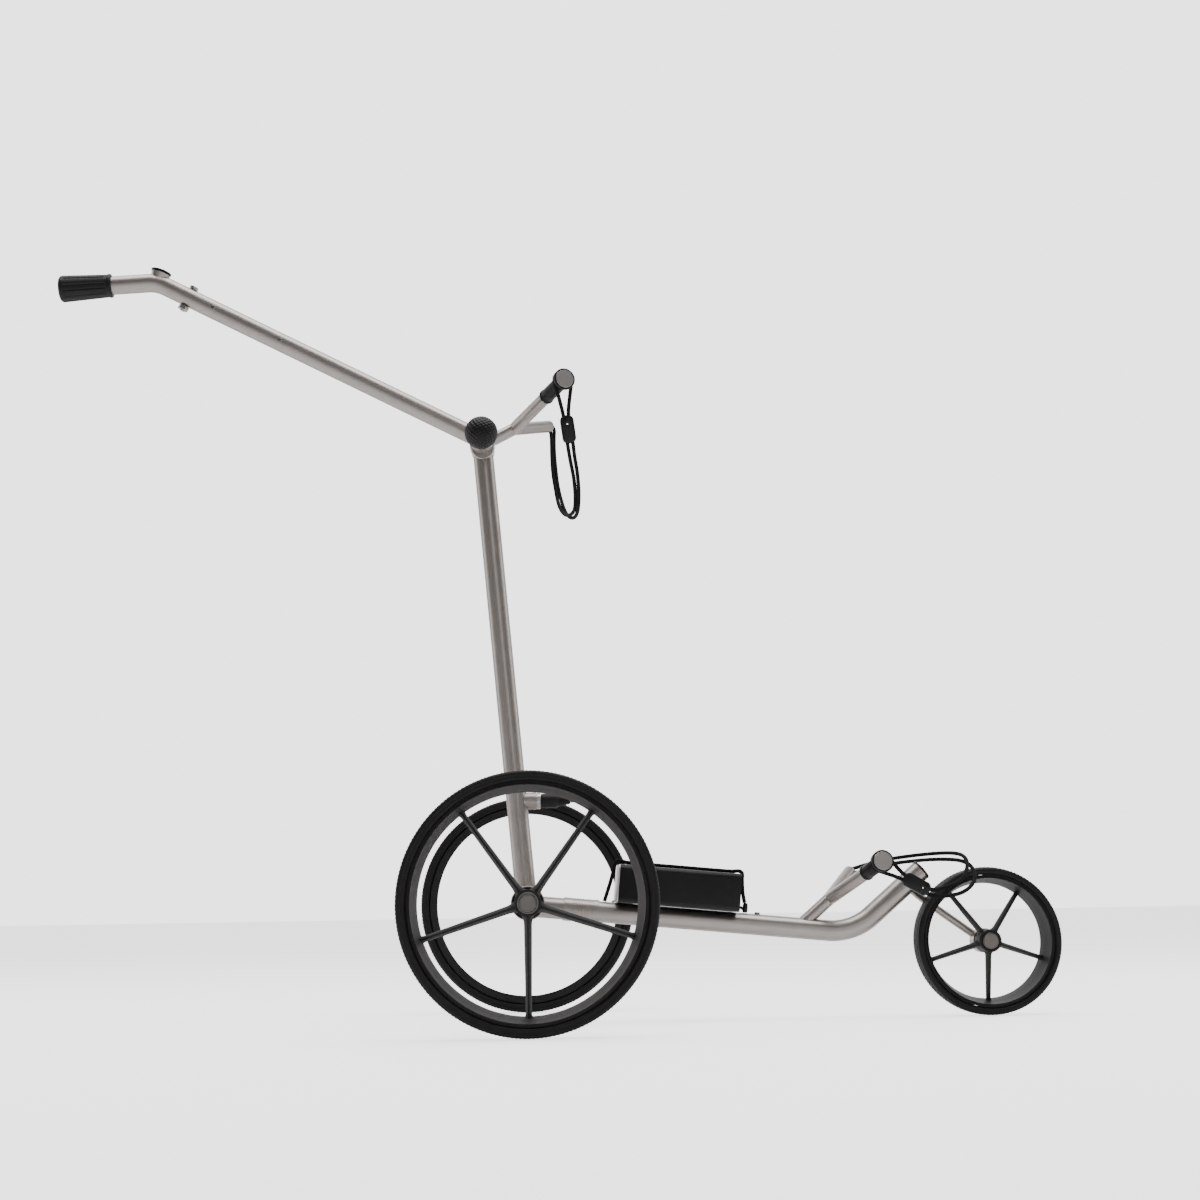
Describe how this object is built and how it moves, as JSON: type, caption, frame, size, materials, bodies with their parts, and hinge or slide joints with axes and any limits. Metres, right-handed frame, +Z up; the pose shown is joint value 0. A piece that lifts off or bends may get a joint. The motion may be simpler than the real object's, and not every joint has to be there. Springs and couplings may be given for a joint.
{
  "type": "electric golf trolley",
  "caption": "Three-wheeled electric golf trolley with a folding push handle, tubular frame, strapped-on battery and forked brackets with elastic cords that hold a golf bag.",
  "frame": {"origin": "on the ground, below the middle of the bounding box", "axes": "+X forward, towards the front wheel; +Y to the left side; +Z up"},
  "size_m": [1.2898, 0.583, 0.9866],
  "materials": {
    "titanium": "satin brushed titanium",
    "polished_titanium": "bright brushed titanium",
    "steel": "bright turned stainless steel",
    "motor_steel": "satin",
    "wheel_plastic": "matte moulded",
    "black_plastic": "satin moulded",
    "gloss_black": "semi-gloss",
    "battery_black": "semi-matt wrap",
    "rubber": "matte ribbed",
    "tyre": "matte tread",
    "cord": "braided elastic cord",
    "board": "circuit board",
    "cells": "wrapped cells"
  },
  "bodies": {
    "chassis": {"axle_tube": "titanium", "main_post": "titanium", "spigot_tube": "titanium", "upper_bracket": "titanium", "upper_knob": "black_plastic", "upper_knob_face": "polished_titanium", "upper_strap_anchor": "black_plastic", "upper_strap": "cord", "upper_strap_slider": "black_plastic", "socket_housing": "titanium", "power_socket": "polished_titanium", "gearmotor_left": "motor_steel", "gearmotor_right": "motor_steel", "axle_bearing_left": "steel", "axle_bearing_right": "steel", "clamp_bolt": "steel"},
    "handle": {"handle_tube": "titanium", "grip": "rubber", "control_board": "board", "accessory_bolt": "steel", "accessory_nut": "steel", "board_screw_rear": "steel", "board_screw_front": "steel"},
    "dial_plunger": {"dial_shaft": "steel"},
    "dial": {"speed_dial": "gloss_black"},
    "knob": {"clamp_knob": "gloss_black", "knob_insert": "steel"},
    "front_section": {"lower_tube": "titanium", "tube_end_plug": "black_plastic", "lower_bracket": "titanium", "lower_knob": "black_plastic", "lower_knob_face": "polished_titanium", "lower_strap_anchor": "black_plastic", "lower_strap": "cord", "lower_strap_slider": "black_plastic", "front_arm": "titanium", "front_axle": "steel", "battery_case": "battery_black", "battery_end_plate": "polished_titanium", "battery_cells": "cells", "battery_strap": "cord", "strap_hook": "black_plastic", "battery_stud_rear": "titanium", "battery_stud_front": "titanium", "lead_gland": "rubber", "battery_lead": "rubber"},
    "sleeve": {"locking_sleeve": "titanium"},
    "drive_right": {"drive_shaft_right": "steel"},
    "drive_left": {"drive_shaft_left": "steel"},
    "wheel_right": {"tyre_right": "tyre", "rim_right": "wheel_plastic"},
    "wheel_left": {"tyre_left": "tyre", "rim_left": "wheel_plastic"},
    "button_right": {"release_button_right": "polished_titanium"},
    "button_left": {"release_button_left": "polished_titanium"},
    "front_wheel": {"front_tyre": "tyre", "front_rim": "wheel_plastic", "front_hub_cap": "polished_titanium", "front_bearing": "steel"},
    "plug": {"plug": "rubber"}
  },
  "joints": [
    {"name": "handle_fold", "type": "hinge", "parent": "chassis", "child": "handle", "pos_m": [-0.09088, 0, 0.7507], "axis": [0, 1, 0], "range_deg": [-109, 30]},
    {"name": "dial_press", "type": "slide", "parent": "handle", "child": "dial_plunger", "axis": [-0.299, 0, -0.9542], "range_m": [0, 0.001], "stiffness_N_per_m": 600, "springref_m": -0.0005},
    {"name": "dial_turn", "type": "hinge", "parent": "dial_plunger", "child": "dial", "pos_m": [-0.51662, -0.0295, 0.96715], "axis": [0.299, 0, 0.9542], "range_deg": [-150, 150]},
    {"name": "clamp_turn", "type": "hinge", "parent": "chassis", "child": "knob", "pos_m": [-0.09088, 0, 0.7507], "axis": [0, -1, 0], "range_deg": [-300, 0]},
    {"name": "front_section_slide", "type": "slide", "parent": "chassis", "child": "front_section", "axis": [0.9952, 0, -0.0976], "range_m": [0, 0.09]},
    {"name": "sleeve_slide", "type": "slide", "parent": "front_section", "child": "sleeve", "axis": [-0.9952, 0, 0.0976], "range_m": [0, 0.01]},
    {"name": "drive_right_spin", "type": "hinge", "parent": "chassis", "child": "drive_right", "pos_m": [-0.03728, -0.24, 0.15], "axis": [0, 1, 0], "continuous": true},
    {"name": "drive_left_spin", "type": "hinge", "parent": "chassis", "child": "drive_left", "pos_m": [-0.03728, 0.24, 0.15], "axis": [0, 1, 0], "continuous": true},
    {"name": "wheel_right_pull", "type": "slide", "parent": "drive_right", "child": "wheel_right", "axis": [0, -1, 0], "range_m": [0, 0.04]},
    {"name": "wheel_left_pull", "type": "slide", "parent": "drive_left", "child": "wheel_left", "axis": [0, 1, 0], "range_m": [0, 0.04]},
    {"name": "button_right_press", "type": "slide", "parent": "wheel_right", "child": "button_right", "axis": [0, 1, 0], "range_m": [0, 0.003], "stiffness_N_per_m": 800, "springref_m": -0.001},
    {"name": "button_left_press", "type": "slide", "parent": "wheel_left", "child": "button_left", "axis": [0, -1, 0], "range_m": [0, 0.003], "stiffness_N_per_m": 800, "springref_m": -0.001},
    {"name": "front_wheel_spin", "type": "hinge", "parent": "front_section", "child": "front_wheel", "pos_m": [0.55127, 0, 0.09361], "axis": [0, 1, 0], "continuous": true},
    {"name": "plug_pull", "type": "slide", "parent": "front_section", "child": "plug", "axis": [1, 0, 0], "range_m": [0, 0.02], "deforming": ["battery_lead"]}
  ]
}
